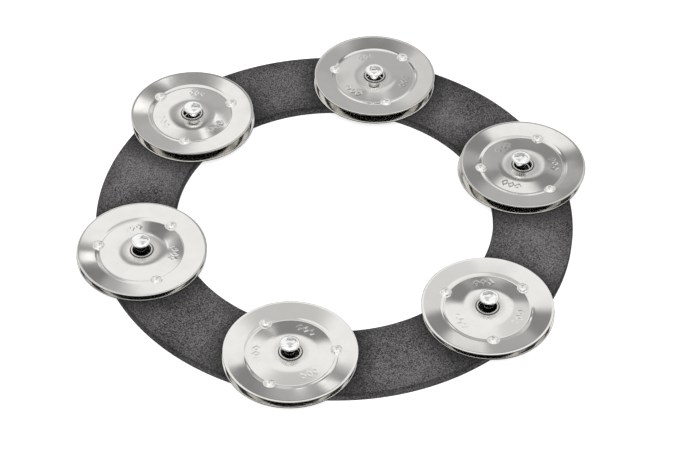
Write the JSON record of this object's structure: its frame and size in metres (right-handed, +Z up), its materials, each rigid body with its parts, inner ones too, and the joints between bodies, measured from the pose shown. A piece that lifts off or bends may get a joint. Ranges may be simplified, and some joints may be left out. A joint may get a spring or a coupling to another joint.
{
  "type": "ching ring",
  "caption": "Flat rubber ring that lies on a cymbal, with pairs of dished steel jingles loose on upright headed pins around it.",
  "frame": {"origin": "centre of the ring's flat underside, at the middle of the opening", "axes": "+Z up, square to the ring, from the underside towards the pin heads; +X from the centre to the first jingle station; the other stations follow anticlockwise seen from above"},
  "size_m": [0.1684, 0.1524, 0.0109],
  "materials": {
    "ring_rubber": "matt, fine grained, dark grey",
    "jingle_steel": "polished sheet steel",
    "pin_steel": "bright plated",
    "washer_steel": "plain zinc coated"
  },
  "bodies": {
    "ring": {"ring_body": "ring_rubber", "pin_1": "pin_steel", "pin_2": "pin_steel", "pin_3": "pin_steel", "pin_4": "pin_steel", "pin_5": "pin_steel", "pin_6": "pin_steel", "top_washer_1": "washer_steel", "top_washer_2": "washer_steel", "top_washer_3": "washer_steel", "top_washer_4": "washer_steel", "top_washer_5": "washer_steel", "top_washer_6": "washer_steel", "back_washer_1": "washer_steel", "back_washer_2": "washer_steel", "back_washer_3": "washer_steel", "back_washer_4": "washer_steel", "back_washer_5": "washer_steel", "back_washer_6": "washer_steel"},
    "upper_jingle_1": {"upper_jingle_1": "jingle_steel"},
    "upper_jingle_2": {"upper_jingle_2": "jingle_steel"},
    "upper_jingle_3": {"upper_jingle_3": "jingle_steel"},
    "upper_jingle_4": {"upper_jingle_4": "jingle_steel"},
    "upper_jingle_5": {"upper_jingle_5": "jingle_steel"},
    "upper_jingle_6": {"upper_jingle_6": "jingle_steel"},
    "lower_jingle_1": {"lower_jingle_1": "jingle_steel"},
    "lower_jingle_2": {"lower_jingle_2": "jingle_steel"},
    "lower_jingle_3": {"lower_jingle_3": "jingle_steel"},
    "lower_jingle_4": {"lower_jingle_4": "jingle_steel"},
    "lower_jingle_5": {"lower_jingle_5": "jingle_steel"},
    "lower_jingle_6": {"lower_jingle_6": "jingle_steel"}
  },
  "joints": [
    {"name": "upper_jingle_1_slide", "type": "slide", "parent": "ring", "child": "upper_jingle_1", "axis": [0, 0, 1], "range_m": [0, 0.0022]},
    {"name": "upper_jingle_2_slide", "type": "slide", "parent": "ring", "child": "upper_jingle_2", "axis": [0, 0, 1], "range_m": [0, 0.0022]},
    {"name": "upper_jingle_3_slide", "type": "slide", "parent": "ring", "child": "upper_jingle_3", "axis": [0, 0, 1], "range_m": [0, 0.0022]},
    {"name": "upper_jingle_4_slide", "type": "slide", "parent": "ring", "child": "upper_jingle_4", "axis": [0, 0, 1], "range_m": [0, 0.0022]},
    {"name": "upper_jingle_5_slide", "type": "slide", "parent": "ring", "child": "upper_jingle_5", "axis": [0, 0, 1], "range_m": [0, 0.0022]},
    {"name": "upper_jingle_6_slide", "type": "slide", "parent": "ring", "child": "upper_jingle_6", "axis": [0, 0, 1], "range_m": [0, 0.0022]},
    {"name": "lower_jingle_1_spin", "type": "hinge", "parent": "ring", "child": "lower_jingle_1", "pos_m": [0.0635, 0, 0.0046], "axis": [0, 0, 1], "continuous": true},
    {"name": "lower_jingle_2_spin", "type": "hinge", "parent": "ring", "child": "lower_jingle_2", "pos_m": [0.03175, 0.05499, 0.0046], "axis": [0, 0, 1], "continuous": true},
    {"name": "lower_jingle_3_spin", "type": "hinge", "parent": "ring", "child": "lower_jingle_3", "pos_m": [-0.03175, 0.05499, 0.0046], "axis": [0, 0, 1], "continuous": true},
    {"name": "lower_jingle_4_spin", "type": "hinge", "parent": "ring", "child": "lower_jingle_4", "pos_m": [-0.0635, 0, 0.0046], "axis": [0, 0, 1], "continuous": true},
    {"name": "lower_jingle_5_spin", "type": "hinge", "parent": "ring", "child": "lower_jingle_5", "pos_m": [-0.03175, -0.05499, 0.0046], "axis": [0, 0, 1], "continuous": true},
    {"name": "lower_jingle_6_spin", "type": "hinge", "parent": "ring", "child": "lower_jingle_6", "pos_m": [0.03175, -0.05499, 0.0046], "axis": [0, 0, 1], "continuous": true}
  ]
}
